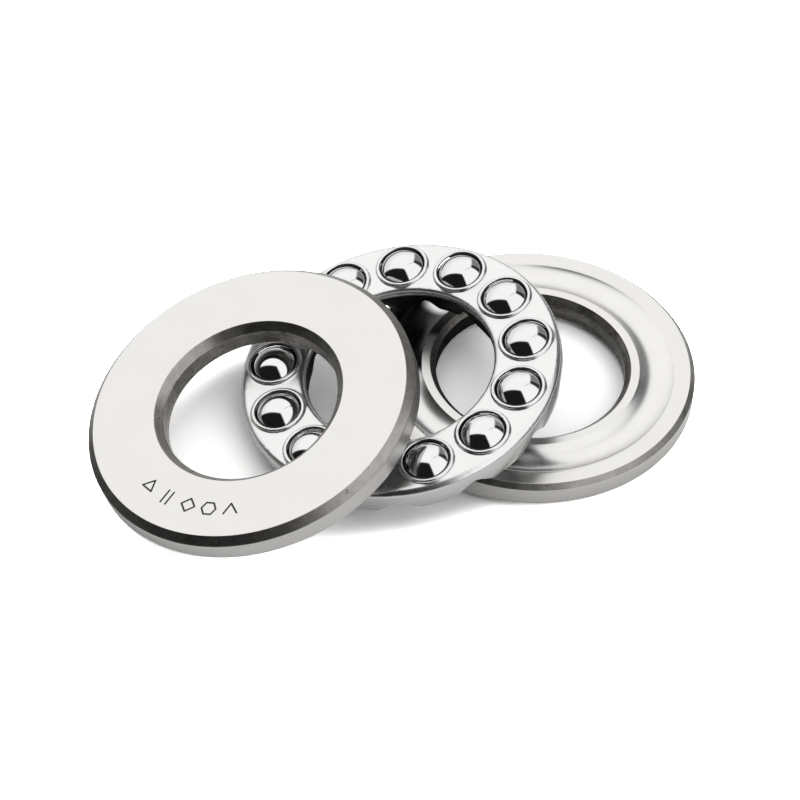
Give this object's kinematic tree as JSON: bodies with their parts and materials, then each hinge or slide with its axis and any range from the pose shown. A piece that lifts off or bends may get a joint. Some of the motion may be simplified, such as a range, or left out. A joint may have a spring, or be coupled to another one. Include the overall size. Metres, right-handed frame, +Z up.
{
  "type": "thrust ball bearing",
  "caption": "Thrust ball bearing taken apart in a row: grooved housing washer, pressed cage holding its balls, and shaft washer, each turning on its own axis.",
  "frame": {"origin": "middle of the row in plan, on the surface that the row lies on", "axes": "+X along the row from the shaft washer to the housing washer, +Z up from the surface, +Y across the row"},
  "size_m": [0.0878, 0.047, 0.0177],
  "materials": {
    "ground_steel": "hardened bearing steel, ground flat faces and lapped raceway, darker unground chamfers and bore",
    "pressed_steel": "bright sheet steel, pressed and tumbled to a fine satin",
    "polished_steel": "bearing balls, mirror polished"
  },
  "bodies": {
    "housing_washer": {"housing_washer": "ground_steel"},
    "shaft_washer": {"shaft_washer": "ground_steel"},
    "cage": {"cage": "pressed_steel"},
    "ball_01": {"ball_01": "polished_steel"},
    "ball_02": {"ball_02": "polished_steel"},
    "ball_03": {"ball_03": "polished_steel"},
    "ball_04": {"ball_04": "polished_steel"},
    "ball_05": {"ball_05": "polished_steel"},
    "ball_06": {"ball_06": "polished_steel"},
    "ball_07": {"ball_07": "polished_steel"},
    "ball_08": {"ball_08": "polished_steel"},
    "ball_09": {"ball_09": "polished_steel"},
    "ball_10": {"ball_10": "polished_steel"},
    "ball_11": {"ball_11": "polished_steel"},
    "ball_12": {"ball_12": "polished_steel"},
    "ball_13": {"ball_13": "polished_steel"}
  },
  "joints": [
    {"name": "shaft_washer_spin", "type": "hinge", "parent": "housing_washer", "child": "shaft_washer", "pos_m": [-0.0217, 0, 0.01124], "axis": [-0.289, 0, 0.9573], "continuous": true},
    {"name": "cage_spin", "type": "hinge", "parent": "housing_washer", "child": "cage", "pos_m": [0.00108, 0.00074, 0.0079], "axis": [-0.2113, 0, 0.9774], "continuous": true},
    {"name": "ball_01_roll", "type": "hinge", "parent": "cage", "child": "ball_01", "pos_m": [0.01826, 0.00483, 0.01162], "axis": [0.952, 0.2267, 0.2058], "continuous": true},
    {"name": "ball_02_roll", "type": "hinge", "parent": "cage", "child": "ball_02", "pos_m": [0.01443, 0.01253, 0.01079], "axis": [0.74, 0.6533, 0.16], "continuous": true},
    {"name": "ball_03_roll", "type": "hinge", "parent": "cage", "child": "ball_03", "pos_m": [0.00755, 0.01753, 0.0093], "axis": [0.3585, 0.9303, 0.0775], "continuous": true},
    {"name": "ball_04_roll", "type": "hinge", "parent": "cage", "child": "ball_04", "pos_m": [-0.00082, 0.01869, 0.00749], "axis": [-0.1052, 0.9942, -0.0227], "continuous": true},
    {"name": "ball_05_roll", "type": "hinge", "parent": "cage", "child": "ball_05", "pos_m": [-0.00876, 0.01573, 0.00578], "axis": [-0.5447, 0.8303, -0.1178], "continuous": true},
    {"name": "ball_06_roll", "type": "hinge", "parent": "cage", "child": "ball_06", "pos_m": [-0.01444, 0.00934, 0.00455], "axis": [-0.8595, 0.4762, -0.1858], "continuous": true},
    {"name": "ball_07_roll", "type": "hinge", "parent": "cage", "child": "ball_07", "pos_m": [-0.01656, 0.00097, 0.00409], "axis": [-0.9773, 0.013, -0.2113], "continuous": true},
    {"name": "ball_08_roll", "type": "hinge", "parent": "cage", "child": "ball_08", "pos_m": [-0.01465, -0.00744, 0.0045], "axis": [-0.8713, -0.4532, -0.1884], "continuous": true},
    {"name": "ball_09_roll", "type": "hinge", "parent": "cage", "child": "ball_09", "pos_m": [-0.00913, -0.01398, 0.0057], "axis": [-0.5657, -0.8155, -0.1223], "continuous": true},
    {"name": "ball_10_roll", "type": "hinge", "parent": "cage", "child": "ball_10", "pos_m": [-0.00128, -0.01715, 0.00739], "axis": [-0.1304, -0.9911, -0.0282], "continuous": true},
    {"name": "ball_11_roll", "type": "hinge", "parent": "cage", "child": "ball_11", "pos_m": [0.00712, -0.01622, 0.00921], "axis": [0.3347, -0.9396, 0.0724], "continuous": true},
    {"name": "ball_12_roll", "type": "hinge", "parent": "cage", "child": "ball_12", "pos_m": [0.01413, -0.01141, 0.01073], "axis": [0.7231, -0.6728, 0.1563], "continuous": true},
    {"name": "ball_13_roll", "type": "hinge", "parent": "cage", "child": "ball_13", "pos_m": [0.01815, -0.00381, 0.0116], "axis": [0.9459, -0.2519, 0.2045], "continuous": true}
  ],
  "couplings": [
    {"joint": "cage_spin", "follows": "shaft_washer_spin", "ratio": 0.5},
    {"joint": "ball_01_roll", "follows": "shaft_washer_spin", "ratio": -2.2739},
    {"joint": "ball_02_roll", "follows": "shaft_washer_spin", "ratio": -2.2739},
    {"joint": "ball_03_roll", "follows": "shaft_washer_spin", "ratio": -2.2739},
    {"joint": "ball_04_roll", "follows": "shaft_washer_spin", "ratio": -2.2739},
    {"joint": "ball_05_roll", "follows": "shaft_washer_spin", "ratio": -2.2739},
    {"joint": "ball_06_roll", "follows": "shaft_washer_spin", "ratio": -2.2739},
    {"joint": "ball_07_roll", "follows": "shaft_washer_spin", "ratio": -2.2739},
    {"joint": "ball_08_roll", "follows": "shaft_washer_spin", "ratio": -2.2739},
    {"joint": "ball_09_roll", "follows": "shaft_washer_spin", "ratio": -2.2739},
    {"joint": "ball_10_roll", "follows": "shaft_washer_spin", "ratio": -2.2739},
    {"joint": "ball_11_roll", "follows": "shaft_washer_spin", "ratio": -2.2739},
    {"joint": "ball_12_roll", "follows": "shaft_washer_spin", "ratio": -2.2739},
    {"joint": "ball_13_roll", "follows": "shaft_washer_spin", "ratio": -2.2739}
  ]
}
